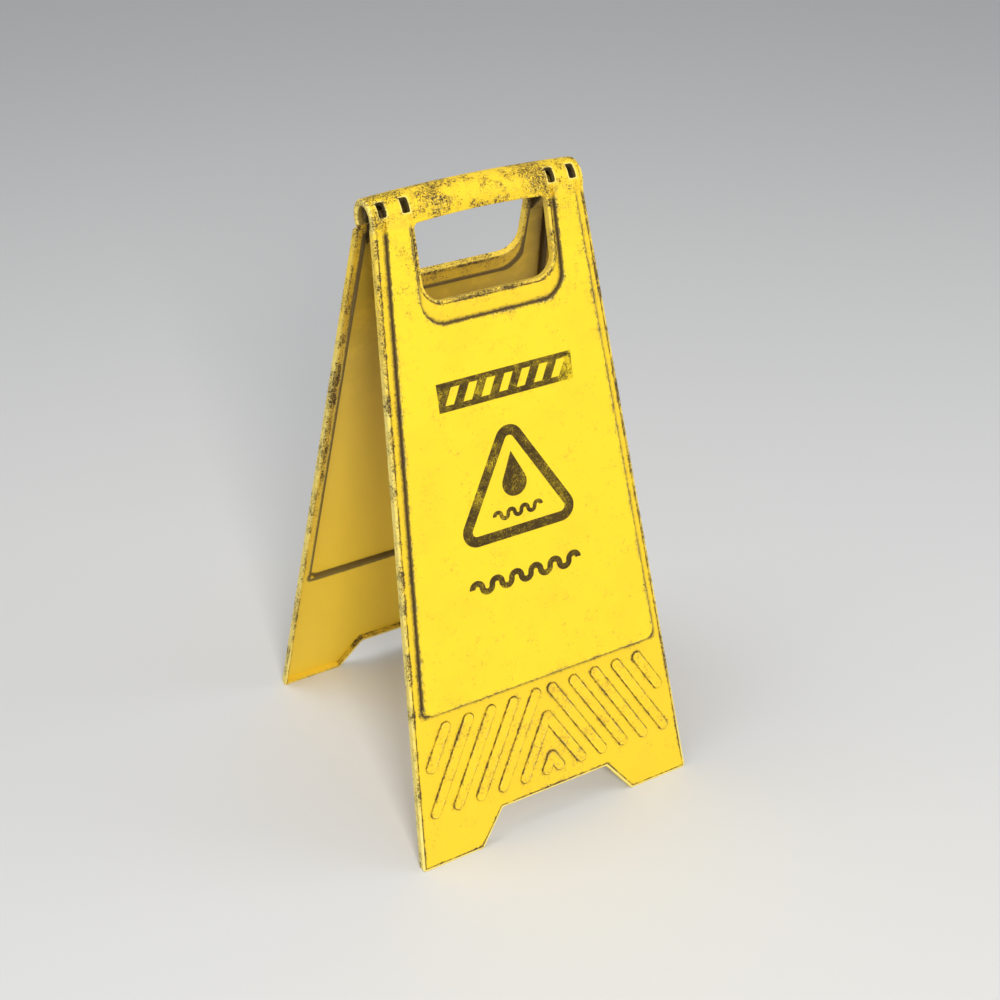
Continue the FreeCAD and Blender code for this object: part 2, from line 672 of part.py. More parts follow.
def square_bar_ends(body):
    """Trim the bowed bar square at both ends."""
    for side in SIDES:
        word = "right" if side > 0 else "left"
        sketch = side_sketch(body, f"{body.Name}_{word}_end_outline", f"{side} * bar_half")
        corners = ((-1, -1), (1, -1), (1, 1), (-1, 1))
        polygon(sketch, tuple((across * BEYOND, up * BEYOND) for across, up in corners))
        pocket(body, f"{body.Name}_{word}_end", sketch, BEYOND, reverse=side > 0)


def round_bar_ends(body):
    """Round the bar's two end faces all the way round."""
    end = value("bar_half")

    def at_end(edge):
        box = edge.BoundBox
        return box.XLength < TOUCH and abs(abs(box.XMin) - end) < TOUCH

    round_edges(body, f"{body.Name}_end_round", "bar_end_round", at_end)


def square_bar_lip(body):
    """Cut the rear lip straight: the rear panel's top stops against it."""
    lip = "lip_angle"
    sketch = side_sketch(body, f"{body.Name}_lip_outline")
    far = "2 * bar_radius"
    polygon(sketch, (
        (f"lip_start * cos({lip})", f"lip_start * sin({lip})"),
        (f"{far} * cos({lip})", f"{far} * sin({lip})"),
        (far, "-bar_radius"),
        ("lip_start", "-bar_radius"),
    ))
    pocket(body, f"{body.Name}_lip", sketch, 2 * BEYOND, both_ways=True)


def bar_opening(body):
    """The handle opening's bowed upper edge, cut in the bar's front wall."""
    name = body.Name
    sketch = face_sketch(body, f"{name}_opening_outline", f"{FIELD_FACE} + {CLEAR}")
    top = "-opening_top"
    low = f"-(bar_front_end + {CLEAR})"
    left = FreeCAD.Vector(-value("opening_half"), value(top), 0)
    right = FreeCAD.Vector(value("opening_half"), value(top), 0)
    middle = FreeCAD.Vector(0, value(f"{top} + opening_rise"), 0)
    low_left = FreeCAD.Vector(left.x, value(low), 0)
    low_right = FreeCAD.Vector(right.x, value(low), 0)
    bow = sketch.addGeometry(Part.Arc(right, middle, left))
    west = sketch.addGeometry(Part.LineSegment(left, low_left))
    south = sketch.addGeometry(Part.LineSegment(low_left, low_right))
    east = sketch.addGeometry(Part.LineSegment(low_right, right))
    for one, other in ((bow, west), (west, south), (south, east), (east, bow)):
        sketch.addConstraint(Sketcher.Constraint("Coincident", one, 2, other, 1))
    pin_point(sketch, west, 1, "-opening_half", top)
    pin_point(sketch, south, 1, "-opening_half", low)
    pin_point(sketch, east, 1, "opening_half", low)
    pin_point(sketch, bow, 1, "opening_half", top)
    hold(sketch, "Radius", bow, "(opening_half^2 + opening_rise^2) / (2 * opening_rise)")
    pocket(body, f"{name}_opening", sketch, f"{FIELD_FACE} + {CLEAR} - opening_back")
    reach = value("opening_half")
    level = value(top)

    def shoulder(edge):
        box = edge.BoundBox
        at_side = abs(abs(box.XMin) - reach) < TOUCH
        return through_wall(edge) and at_side and abs(box.ZMin - level) < NEAR

    round_edges(body, f"{name}_shoulders", "opening_shoulder", shoulder)
    round_opening(body)


def hinge_windows(body):
    """Four windows through the bar, where mould cores shape the bosses behind them."""
    tilt = "window_angle"

    def turned(outward, across):
        depth = f"(-({outward}) * cos({tilt}) + ({across}) * sin({tilt}))"
        up = f"(({outward}) * sin({tilt}) + ({across}) * cos({tilt}))"
        return depth, up

    half = "window_height / 2"
    far = f"bar_radius + {CLEAR}"
    for side in SIDES:
        for place in ("window_inner", "window_outer"):
            label = f"{body.Name}_{'right' if side > 0 else 'left'}_{place}"
            sketch = side_sketch(body, f"{label}_outline", f"{side} * {place}")
            polygon(sketch, (
                turned("window_floor", f"-({half})"),
                turned(far, f"-({half})"),
                turned(far, half),
                turned("window_floor", half),
            ))
            pocket(body, label, sketch, "window_width", both_ways=True)
    angle = math.radians(value(tilt))
    outward = FreeCAD.Vector(0, -math.cos(angle), math.sin(angle))
    round_edges(body, f"{body.Name}_window_round", "window_round", lambda edge: along(edge, outward))


def hinge_bosses(body):
    """Four bored bosses inside the bar, each on an arm from the front wall, and two end webs."""
    name = body.Name
    root = "-(bar_radius - bar_wall + boss_bite)"
    for side in SIDES:
        for place in ("window_inner", "window_outer"):
            label = f"{name}_{'right' if side > 0 else 'left'}_{place}"
            centre = f"{side} * {place}"
            arm = side_sketch(body, f"{label}_arm_outline", centre)
            polygon(arm, (
                (root, "-boss_radius"),
                ("0", "-boss_radius"),
                ("0", "arm_top"),
                (root, "arm_top"),
            ))
            pad(body, f"{label}_arm", arm, "boss_width", both_ways=True)
            boss = side_sketch(body, f"{label}_boss_outline", centre)
            circle(boss, "0", "0", "boss_radius")
            pad(body, f"{label}_boss", boss, "boss_width", both_ways=True)
        label = f"{name}_{'right' if side > 0 else 'left'}_web"
        web = side_sketch(body, f"{label}_outline", f"{side} * web_place")
        half_ring(web, "0", "0", "bar_radius - bar_wall + boss_bite", "web_hole", True)
        pad(body, label, web, "web_wall", both_ways=True)
    bore = side_sketch(body, f"{name}_bore_outline")
    circle(bore, "0", "0", "pin_radius - press_grip")
    pocket(body, f"{name}_bore", bore, 2 * BEYOND, both_ways=True)


def grip_dent(body):
    """A shallow oval pressed into the middle of the grip."""
    before = body.Tip.Shape.Volume
    dent = body.newObject("PartDesign::SubtractiveEllipsoid", f"{body.Name}_dent")
    out = "(bar_radius + dent_reach - dent_depth)"
    bind(dent, "Radius1", "dent_half_height")
    bind(dent, "Radius2", "dent_half_length")
    bind(dent, "Radius3", "dent_reach")
    depth = value(f"-{out} * cos(dent_angle)")
    up = value(f"bar_rise + {out} * sin(dent_angle)")
    lean = FreeCAD.Rotation(FreeCAD.Vector(1, 0, 0), -value("dent_angle"))
    dent.Placement = FreeCAD.Placement(FreeCAD.Vector(0, depth, up), lean)
    doc.recompute()
    check_change(dent, before)


def make_front_panel():
    """The front moulding: panel, handle bar and hinge bosses in one."""
    face = doc.addObject("PartDesign::Body", "front_face")
    panel_blank(face, "front_top_drop", "rim_width")
    raised_field(face, "field_blend - 2")
    chevron_ribs(face)
    handle_opening(face, "front_top_drop")
    level_feet(face)
    bar = doc.addObject("PartDesign::Body", "front_bar")
    handle_bar(bar)
    square_bar_ends(bar)
    square_bar_lip(bar)
    round_bar_ends(bar)
    bar_opening(bar)
    hinge_windows(bar)
    hinge_bosses(bar)
    grip_dent(bar)
    whole = doc.addObject("Part::Fuse", "front_panel")
    whole.Base = face
    whole.Tool = bar
    doc.recompute()
    return whole


# ---- rear panel -----------------------------------------------------------------------------

def rear_stop(body):
    """Slope the tops of the two arms, which stop against the handle bar's rear lip."""
    sketch = side_sketch(body, f"{body.Name}_stop_outline")
    slope = "tan(stop_angle)"
    far = f"{FIELD_FACE} + {CLEAR}"
    polygon(sketch, (
        ("-stop_start", f"-stop_start * {slope}"),
        (f"-({far})", f"-({far}) * {slope}"),
        (f"-({far})", f"{CLEAR}"),
        ("-stop_start", f"{CLEAR}"),
    ))
    pocket(body, f"{body.Name}_stop", sketch, 2 * BEYOND, both_ways=True)


def rear_knuckles(body):
    """Two bored knuckles that reach up into the bar, between the front panel's bosses."""
    name = body.Name
    middle = "(window_inner + window_outer) / 2"
    root = f"-({FIELD_FACE} - skin + arm_bite)"
    for side in SIDES:
        label = f"{name}_{'right' if side > 0 else 'left'}_knuckle"
        centre = f"{side} * {middle}"
        arm = side_sketch(body, f"{label}_arm_outline", centre)
        polygon(arm, (
            ("-neck_front", "arm_top"),
            ("-neck_front", "-neck_front_foot"),
            ("-neck_waist", "-neck_waist_drop"),
            ("-arm_front", "-arm_clear"),
            (root, "-arm_root"),
            (root, "-arm_foot"),
            ("-arm_front", "-arm_foot"),
            ("neck_back_foot", "-neck_back_drop"),
            ("neck_back", "arm_top"),
        ))
        pad(body, f"{label}_arm", arm, "knuckle_width", both_ways=True)
        barrel = side_sketch(body, f"{label}_barrel_outline", centre)
        circle(barrel, "0", "0", "boss_radius")
        pad(body, f"{label}_barrel", barrel, "knuckle_width", both_ways=True)
    bore = side_sketch(body, f"{name}_bore_outline")
    circle(bore, "0", "0", "pin_radius + running_gap")
    pocket(body, f"{name}_bore", bore, 2 * BEYOND, both_ways=True)


def make_rear_panel():
    """The rear moulding: the same panel, open at the top, with two hinge knuckles."""
    body = doc.addObject("PartDesign::Body", "rear_panel")
    panel_blank(body, "rear_top_drop", "stop_block")
    raised_field(body, "rear_hollow")
    chevron_ribs(body)
    handle_opening(body, "rear_top_drop")
    rear_stop(body)
    rear_knuckles(body)
    level_feet(body)
    return body


# ---- hinge hardware -------------------------------------------------------------------------

def make_pin(name):
    """A headed pin. The head bears on the outer boss."""
    body = doc.addObject("PartDesign::Body", name)
    outer = "(window_outer + boss_width / 2)"
    inner = "(window_inner - boss_width / 2 - ring_wall - pin_tail)"
    shank = side_sketch(body, f"{name}_shank_outline", inner)
    circle(shank, "0", "0", "pin_radius")
    pad(body, f"{name}_shank", shank, f"{outer} - {inner}")
    head = side_sketch(body, f"{name}_head_outline", outer)
    circle(head, "0", "0", "pin_head_radius")
    pad(body, f"{name}_head", head, "pin_head")
    rim = value(f"{outer} + pin_head")
    tip = value(inner)
    round_edges(
        body, f"{name}_rounds", "pin_head / 4",
        lambda edge: abs(edge.BoundBox.XMin - rim) < TOUCH or abs(edge.BoundBox.XMax - tip) < TOUCH,
    )
    return body


def make_retainer(name):
    """A push-on ring against the inner boss."""
    body = doc.addObject("PartDesign::Body", name)
    place = "window_inner - boss_width / 2 - ring_wall"
    sketch = side_sketch(body, f"{name}_outline", place)
    circle(sketch, "0", "0", "ring_radius")
    circle(sketch, "0", "0", "pin_radius - press_grip")
    pad(body, f"{name}_ring", sketch, "ring_wall")
    return body


# ---- prints ---------------------------------------------------------------------------------

def print_sketch(body, name):
    """A sketch on the raised field's face."""
    return face_sketch(body, f"{body.Name}_{name}", FIELD_FACE)


def make_banner(name):
    """A dark bar with slanted clear stripes."""
    body = doc.addObject("PartDesign::Body", name)
    bar = print_sketch(body, "bar")
    low = "-(banner_top + banner_height)"
    polygon(bar, (
        ("-banner_half", "-banner_top"),
        ("banner_half", "-banner_top"),
        ("banner_half", low),
        ("-banner_half", low),
    ))
    pad(body, f"{name}_bar_ink", bar, "ink")
    middle = "-(banner_top + banner_height / 2)"
    first = f"(-{(STRIPE_COUNT - 1) / 2} * stripe_pitch)"
    half = "stripe_height / 2"
    stripe = face_sketch(body, f"{name}_stripe", f"{FIELD_FACE} + ink")
    polygon(stripe, (
        (f"{first} - stripe_width / 2 + stripe_lean / 2", f"{middle} + {half}"),
        (f"{first} + stripe_width / 2 + stripe_lean / 2", f"{middle} + {half}"),
        (f"{first} + stripe_width / 2 - stripe_lean / 2", f"{middle} - {half}"),
        (f"{first} - stripe_width / 2 - stripe_lean / 2", f"{middle} - {half}"),
    ))
    clear = pocket(body, f"{name}_clear", stripe, "ink")
    repeat_across(body, f"{name}_stripes", [clear], STRIPE_COUNT, "stripe_pitch")
    return body


def triangle(sketch, radius):
    """An upright triangle whose sides clear its rounded-corner centres by a radius."""
    reach = f"(triangle_side / sqrt(3) + 2 * {radius})"
    polygon(sketch, (
        ("print_centre", f"-triangle_middle + {reach}"),
        (f"print_centre + {reach} * cos(30)", f"-triangle_middle - {reach} / 2"),
        (f"print_centre - {reach} * cos(30)", f"-triangle_middle - {reach} / 2"),
    ))


def make_triangle(name):
    """A rounded triangular frame."""
    body = doc.addObject("PartDesign::Body", name)
    upright = FreeCAD.Vector(0, 1, 0)
    outside = print_sketch(body, "outside")
    triangle(outside, "triangle_outer")
    pad(body, f"{name}_plate", outside, "ink")
    round_edges(body, f"{name}_outer_round", "triangle_outer", lambda edge: along(edge, upright))
    inside = face_sketch(body, f"{name}_inside", f"{FIELD_FACE} + ink")
    triangle(inside, "triangle_inner")
    pocket(body, f"{name}_window", inside, "ink")
    tight = value("triangle_side / sqrt(3) + 2 * triangle_inner")
    centre = FreeCAD.Vector(value("print_centre"), 0, -value("triangle_middle"))

    def inner_corner(edge):
        spot = edge.BoundBox.Center
        away = math.hypot(spot.x - centre.x, spot.z - centre.z)
        return along(edge, upright) and abs(away - tight) < NEAR

    round_edges(body, f"{name}_inner_round", "triangle_inner", inner_corner)
    return body


def waves(body, centre, drop, outer, inner, count):
    """A snaking line of half rings, arched up and down in turn."""
    pitch = f"({outer} + {inner})"
    first = f"({centre} - {(count - 1) / 2} * {pitch})"
    crest = print_sketch(body, "crest")
    half_ring(crest, first, f"-{drop}", outer, inner, True)
    crests = pad(body, f"{body.Name}_crest_ink", crest, "ink")
    repeat_across(body, f"{body.Name}_crests", [crests], (count + 1) // 2, f"2 * {pitch}")
    trough = print_sketch(body, "trough")
    half_ring(trough, f"{first} + {pitch}", f"-{drop}", outer, inner, False)
    troughs = pad(body, f"{body.Name}_trough_ink", trough, "ink")
    repeat_across(body, f"{body.Name}_troughs", [troughs], count // 2, f"2 * {pitch}")


def make_drop(name):
    """A water drop: a disc and the tangent point above it."""
    body = doc.addObject("PartDesign::Body", name)
    disc = print_sketch(body, "disc")
    circle(disc, "print_centre", "-drop_middle", "drop_radius")
    pad(body, f"{name}_disc_ink", disc, "ink")
    lean = "acos(drop_radius / drop_tip)"
    side = f"drop_radius * sin({lean})"
    rise = f"drop_radius * cos({lean})"
    point = print_sketch(body, "point")
    polygon(point, (
        ("print_centre", "-drop_middle + drop_tip"),
        (f"print_centre + {side}", f"-drop_middle + {rise}"),
        (f"print_centre - {side}", f"-drop_middle + {rise}"),
    ))
    pad(body, f"{name}_point_ink", point, "ink")
    return body


def make_puddle(name):
    """A short ripple under the drop."""
    body = doc.addObject("PartDesign::Body", name)
    waves(body, "print_centre", "puddle_middle", "puddle_outer", "puddle_inner", PUDDLE_WAVES)
    return body


def make_wave_row(name):
    """A long ripple across the panel."""
    body = doc.addObject("PartDesign::Body", name)
    waves(body, "print_centre", "wave_middle", "wave_outer", "wave_inner", ROW_WAVES)
    return body


PRINTS = (
    ("banner_print", make_banner),
    ("triangle_print", make_triangle),
    ("drop_print", make_drop),
    ("puddle_print", make_puddle),
    ("wave_print", make_wave_row),
)


# ---- placing and writing --------------------------------------------------------------------

def place(body, facing):
    """Tilt a sub-part out from the hinge axis. Facing is -1 for the front and 1 for the rear."""
    turn = "0" if facing < 0 else "180"
    about_up = FreeCAD.Rotation(FreeCAD.Vector(0, 0, 1), value(turn))
    about_width = FreeCAD.Rotation(FreeCAD.Vector(1, 0, 0), facing * value("panel_tilt"))
    body.Placement = FreeCAD.Placement(FreeCAD.Vector(0, 0, 0), about_width * about_up)
    bind(body, "Placement.Base.z", "axis_height")


def place_pin(body, side):
    """Put hinge hardware on the axis, with its head outwards."""
    turn = FreeCAD.Rotation(FreeCAD.Vector(0, 0, 1), 0 if side > 0 else 180)
    body.Placement = FreeCAD.Placement(FreeCAD.Vector(0, 0, 0), turn)
    bind(body, "Placement.Base.z", "axis_height")


def make_all():
    """Every sub-part, in place."""
    bodies = []
    front = make_front_panel()
    rear = make_rear_panel()
    place(front, -1)
    place(rear, 1)
    bodies += [front, rear]
    for side, word in zip(SIDES, ("left", "right")):
        for make, noun in ((make_pin, "hinge_pin"), (make_retainer, "pin_retainer")):
            body = make(f"{word}_{noun}")
            place_pin(body, side)
            bodies.append(body)
    for facing, word in zip(SIDES, ("front", "rear")):
        for noun, make in PRINTS:
            body = make(f"{word}_{noun}")
            place(body, facing)
            bodies.append(body)
    return bodies


def check_and_write(bodies):
    """Stop on any failed object or bad shape, then write one file per sub-part."""
    doc.recompute()
    for thing in doc.Objects:
        if "Invalid" in thing.State or "Error" in thing.State:
            raise RuntimeError(f"{thing.Name} is {thing.State}")
    os.makedirs(PARTS_FOLDER, exist_ok=True)
    for body in bodies:
        body.Label = body.Name
        if body.Shape.isNull() or not body.Shape.isValid():
            raise RuntimeError(f"{body.Name} has a bad shape")
        body.Shape.exportStep(f"{PARTS_FOLDER}/{body.Label}.step")
        print(body.Label, len(body.Shape.Solids), round(body.Shape.Volume / 1000, 2), "cm3")


check_and_write(make_all())
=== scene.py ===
import math

import bpy
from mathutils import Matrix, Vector

# Worn plastic floor sign, standing open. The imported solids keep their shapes. This script gives
# them their finish, and adds the camera, the floor and the light.
#
# The wear is drawn in each panel's own frame, in millimetres, like the panel's dimensions: X is
# across, "drop" is the distance below the hinge axis and "depth" the distance outwards from it.

# ---- sizes, in millimetres and degrees ------------------------------------------------------

AXIS_HEIGHT = 600.0
PANEL_TILT = 14.375
PANEL_LENGTH = 623.9
TOP_HALF_WIDTH = 105.7
FOOT_HALF_WIDTH = 155.0
FACE_DEPTH = 17.65
FIELD_HEIGHT = 4.0
SKIN = 3.0
FIELD_MARGIN = 11.0
FIELD_BOTTOM = 465.0
FIELD_CORNER = 12.0
RECESS_HALF = 73.0
RECESS_BOTTOM = 100.5
RECESS_CORNER = 24.0
OPENING_HALF = 67.0
OPENING_BOTTOM = 80.0
OPENING_CORNER = 20.0
ABOVE_AXIS = -40.0  # where the opening and the recess, open at the top, are taken to begin
NOTCH_HALF = 60.6
NOTCH_SPLAY = 0.7535
NOTCH_TOP = 588.2
RIB_TOP = 481.0
RIB_BOTTOM = 566.0
RIB_SHORT_BOTTOM = 518.0
RIB_FIRST = 9.3
RIB_PITCH = 25.0
RIB_LEAN = 0.567
RIB_RADIUS = 5.3
LONG_RIBS = 4
CHEVRON_RIBS = 2
BAR_RADIUS = 19.0
BAR_INNER = 12.5
BAR_RISE = 3.3
BAR_HALF = 107.0
WINDOW_PLACES = (73.2, 95.5)
WINDOW_HALF = (3.8, 7.1)
WINDOW_ANGLE = 29.0
BANNER_HALF = 70.5
BANNER_ZONE = (185.0, 180.0)

TAPER = (FOOT_HALF_WIDTH - TOP_HALF_WIDTH) / PANEL_LENGTH
NOTCH_SLANT = 0.8  # the cosine of the notch's splay
TO_MM = 1000.0

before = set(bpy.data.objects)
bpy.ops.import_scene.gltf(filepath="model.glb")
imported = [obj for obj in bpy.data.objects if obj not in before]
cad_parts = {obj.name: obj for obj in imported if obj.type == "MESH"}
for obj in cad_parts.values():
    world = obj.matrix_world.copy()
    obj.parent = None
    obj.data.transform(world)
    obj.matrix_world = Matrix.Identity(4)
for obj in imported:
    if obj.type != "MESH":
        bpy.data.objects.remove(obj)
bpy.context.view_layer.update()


# ---- numbers worked out by nodes ------------------------------------------------------------

class Field:
    """A number that a material's nodes work out at each point of the surface."""

    def __init__(self, shade, socket):
        self.shade = shade
        self.socket = socket

    def __add__(self, other):
        return self.shade.math("ADD", self, other)

    def __radd__(self, other):
        return self.shade.math("ADD", other, self)

    def __sub__(self, other):
        return self.shade.math("SUBTRACT", self, other)

    def __rsub__(self, other):
        return self.shade.math("SUBTRACT", other, self)

    def __mul__(self, other):
        return self.shade.math("MULTIPLY", self, other)

    def __neg__(self):
        return self.shade.math("MULTIPLY", self, -1.0)

    def __abs__(self):
        return self.shade.math("ABSOLUTE", self)


class Shade:
    """One material and short names for the nodes it is built from."""

    def __init__(self, name):
        self.material = bpy.data.materials.new(name)
        self.material.use_nodes = True
        self.tree = self.material.node_tree
        self.tree.nodes.clear()

    def node(self, kind, **settings):
        made = self.tree.nodes.new(kind)
        for key, setting in settings.items():
            setattr(made, key, setting)
        return made

    def feed(self, socket, source):
        """Link a field or socket to an input, or set the input to a plain value."""
        if isinstance(source, Field):
            self.tree.links.new(source.socket, socket)
        elif isinstance(source, bpy.types.NodeSocket):
            self.tree.links.new(source, socket)
        else:
            socket.default_value = source

    def math(self, operation, *sources):
        made = self.node("ShaderNodeMath", operation=operation)
        for socket, source in zip(made.inputs, sources):
            self.feed(socket, source)
        return Field(self, made.outputs[0])

    def largest(self, first, *others):
        for other in others:
            first = self.math("MAXIMUM", first, other)
        return first

    def smallest(self, first, *others):
        for other in others:
            first = self.math("MINIMUM", first, other)
        return first

    def ramp(self, field, none, full):
        """0 where the field is at none or beyond, 1 at full or beyond, and smooth between."""
        made = self.node("ShaderNodeMapRange", interpolation_type="SMOOTHSTEP")
        self.feed(made.inputs["Value"], field)
        self.feed(made.inputs["From Min"], none)
        self.feed(made.inputs["From Max"], full)
        return Field(self, made.outputs["Result"])

    def noise(self, place, size, detail=4.0, roughness=0.6):
        """Cloudy noise, 0 to 1, with features about size millimetres across."""
        made = self.node("ShaderNodeTexNoise")
        self.feed(made.inputs["Vector"], place)
        made.inputs["Scale"].default_value = 1.0 / size
        made.inputs["Detail"].default_value = detail
        made.inputs["Roughness"].default_value = roughness
        return Field(self, made.outputs["Fac"])

    def mix(self, amount, under, over):
        """The colour under, with the colour over laid on it by an amount."""
        made = self.node("ShaderNodeMix", data_type="RGBA")
        colours = [socket for socket in made.inputs if socket.type == "RGBA"]
        self.feed(made.inputs["Factor"], amount)
        self.feed(colours[0], under)
        self.feed(colours[1], over)
        return [socket for socket in made.outputs if socket.type == "RGBA"][0]

    def finish(self, colour, roughness, relief, strength, height, **plain):
        """The surface shader, with relief as bumps of a height in metres."""
        bump = self.node("ShaderNodeBump")
        self.feed(bump.inputs["Height"], relief)
        bump.inputs["Strength"].default_value = strength
        bump.inputs["Distance"].default_value = height
        surface = self.node("ShaderNodeBsdfPrincipled")
        self.feed(surface.inputs["Base Color"], colour)
        self.feed(surface.inputs["Roughness"], roughness)
        self.feed(surface.inputs["Normal"], bump.outputs["Normal"])
        for key, setting in plain.items():
            surface.inputs[key].default_value = setting
        output = self.node("ShaderNodeOutputMaterial")
        self.feed(output.inputs["Surface"], surface.outputs[0])
        return self.material


def rgb(red, green, blue):
    """A screen colour, 0 to 255, as the linear colour that nodes use."""
    def linear(part):
        part = part / 255.0
        return part / 12.92 if part <= 0.04045 else ((part + 0.055) / 1.055) ** 2.4
    return linear(red), linear(green), linear(blue), 1.0


# ---- a panel's own frame --------------------------------------------------------------------

class PanelFrame:
    """Where a point lies on a panel: across, below the hinge axis and outwards from it."""

    def __init__(self, shade, facing):
        self.shade = shade
        coordinates = shade.node("ShaderNodeTexCoord")
        centred = shade.node("ShaderNodeVectorMath", operation="SUBTRACT")
        shade.feed(centred.inputs[0], coordinates.outputs["Object"])
        centred.inputs[1].default_value = (0.0, 0.0, AXIS_HEIGHT / TO_MM)
        turned = self.upright(centred.outputs[0], facing)
        scaled = shade.node("ShaderNodeVectorMath", operation="SCALE")
        shade.feed(scaled.inputs[0], turned)
        scaled.inputs["Scale"].default_value = TO_MM
        split = shade.node("ShaderNodeSeparateXYZ")
        shade.feed(split.inputs[0], scaled.outputs[0])
        self.place = scaled.outputs[0]
        self.across = Field(shade, split.outputs[0])
        self.depth = -Field(shade, split.outputs[1])
        self.drop = -Field(shade, split.outputs[2])
        self.away = abs(self.across)
        direction = shade.node("ShaderNodeSeparateXYZ")
        shade.feed(direction.inputs[0], self.upright(coordinates.outputs["Normal"], facing))
        self.faces_in = shade.ramp(Field(shade, direction.outputs[1]), none=0.3, full=0.7)

    def upright(self, vector, facing):
        """A vector turned from the standing sign into the hanging panel's frame."""
        turned = self.shade.node("ShaderNodeMapping", vector_type="POINT")
        self.shade.feed(turned.inputs["Vector"], vector)
        about_up = 0.0 if facing < 0 else math.pi
        turned.inputs["Rotation"].default_value = (-facing * math.radians(PANEL_TILT), 0.0, about_up)
        return turned.outputs[0]

    def moved(self, dx, dy, dz):
        """The same place, shifted, so that one noise does not repeat another."""
        made = self.shade.node("ShaderNodeVectorMath", operation="ADD")
        self.shade.feed(made.inputs[0], self.place)
        made.inputs[1].default_value = (dx, dy, dz)
        return made.outputs[0]

    def squeezed(self, x, y, z, turn=0.0):
        """The place turned in the panel's plane and scaled, for streaks."""
        made = self.shade.node("ShaderNodeMapping", vector_type="TEXTURE")
        self.shade.feed(made.inputs["Vector"], self.place)
        made.inputs["Rotation"].default_value = (0.0, math.radians(turn), 0.0)
        made.inputs["Scale"].default_value = (x, y, z)
        return made.outputs[0]

    def rounded_box(self, half_x, low, high, radius):
        """Distance outside a box with rounded corners, negative inside it."""
        shade = self.shade
        middle = (low + high) / 2
        x = self.away - (half_x - radius)
        z = abs(self.drop - middle) - ((high - low) / 2 - radius)
        corner_x = shade.math("MAXIMUM", x, 0.0)
        corner_z = shade.math("MAXIMUM", z, 0.0)
        outside = shade.math("SQRT", corner_x * corner_x + corner_z * corner_z)
        inside = shade.smallest(shade.math("MAXIMUM", x, z), 0.0)
        return outside + inside - radius

    def half_width(self):
        return self.drop * TAPER + TOP_HALF_WIDTH

    def to_edge(self):
        """Distance in from the panel's edges, its foot notch and its handle opening."""
        shade = self.shade
        side = self.half_width() - self.away
        foot = PANEL_LENGTH - self.drop
        splay = (self.away - (self.drop - NOTCH_TOP) * NOTCH_SPLAY - NOTCH_HALF) * NOTCH_SLANT
        notch = shade.math("MAXIMUM", splay, NOTCH_TOP - self.drop)
        opening = self.rounded_box(OPENING_HALF, ABOVE_AXIS, OPENING_BOTTOM, OPENING_CORNER)
        return shade.smallest(side, foot, notch, opening)

    def to_field(self):
        """Distance outside the raised field, negative on it."""
        shade = self.shade
        side = self.away - (self.half_width() - FIELD_MARGIN)
        outer = shade.math("SMOOTH_MAX", side, self.drop - FIELD_BOTTOM, FIELD_CORNER)
        recess = self.rounded_box(RECESS_HALF, ABOVE_AXIS, RECESS_BOTTOM, RECESS_CORNER)
        return shade.math("MAXIMUM", outer, -recess)

    def to_rib(self, start, end):
        """Distance from a rib's outline, negative on the rib."""
        shade = self.shade
        run_x = end[0] - start[0]
        run_z = end[1] - start[1]
        span = run_x * run_x + run_z * run_z
        x = self.away - start[0]
        z = self.drop - start[1]
        share = (x * run_x + z * run_z) * (1.0 / span)
        share = shade.smallest(shade.largest(share, 0.0), 1.0)
        off_x = x - share * run_x
        off_z = z - share * run_z
        return shade.math("SQRT", off_x * off_x + off_z * off_z) - RIB_RADIUS

    def to_ribs(self):
        """Distance from the nearest rib's outline."""
        run = (RIB_BOTTOM - RIB_TOP) * RIB_LEAN
        ribs = []
        for number in range(LONG_RIBS):
            start = RIB_FIRST + number * RIB_PITCH
            ribs.append(((start, RIB_TOP), (start + run, RIB_BOTTOM)))
        start = RIB_FIRST + LONG_RIBS * RIB_PITCH
        short_run = (RIB_SHORT_BOTTOM - RIB_TOP) * RIB_LEAN
        ribs.append(((start, RIB_TOP), (start + short_run, RIB_SHORT_BOTTOM)))
        for number in range(1, CHEVRON_RIBS + 1):
            end = RIB_FIRST + run - number * RIB_PITCH
            ribs.append(((0.0, RIB_BOTTOM - end / RIB_LEAN), (end, RIB_BOTTOM)))
        return self.shade.smallest(*(self.to_rib(*rib) for rib in ribs))

    def to_windows(self):
        """Distance outside the nearest hinge window, negative within its outline."""
        shade = self.shade
        lean = math.radians(WINDOW_ANGLE)
        round_bar = -self.depth * math.sin(lean) - self.drop * math.cos(lean)
        columns = [abs(self.away - place) for place in WINDOW_PLACES]
        sideways = shade.smallest(*columns) - WINDOW_HALF[0]
        return shade.largest(sideways, abs(round_bar) - WINDOW_HALF[1])


# ---- materials ------------------------------------------------------------------------------

LEMON = rgb(252, 219, 28)
AMBER = rgb(252, 212, 30)
MOTTLE = rgb(246, 206, 28)
# The next three colours are painted shade on the inner side: duller yellow, and darker towards the top.
INNER_SHADE = rgb(216, 182, 72)
INNER_SHADE_TOP = rgb(214, 172, 34)
DEEP_SHADE = rgb(152, 128, 36)
CREAM = rgb(252, 232, 128)
HUSK = rgb(240, 204, 62)
STAIN = rgb(216, 168, 40)
UMBER = rgb(116, 84, 28)
OLIVE = rgb(60, 44, 16)
# The next colour stands for dirt and also for painted shade in the creases, the hollows and the bar's
# bore.
GRIME_AND_SHADE = rgb(66, 50, 34)
TAUPE = rgb(176, 140, 84)
INK = rgb(66, 48, 8)
INK_WORN = rgb(112, 90, 22)
ZINC = rgb(176, 178, 182)
ZINC_DULL = rgb(128, 124, 116)

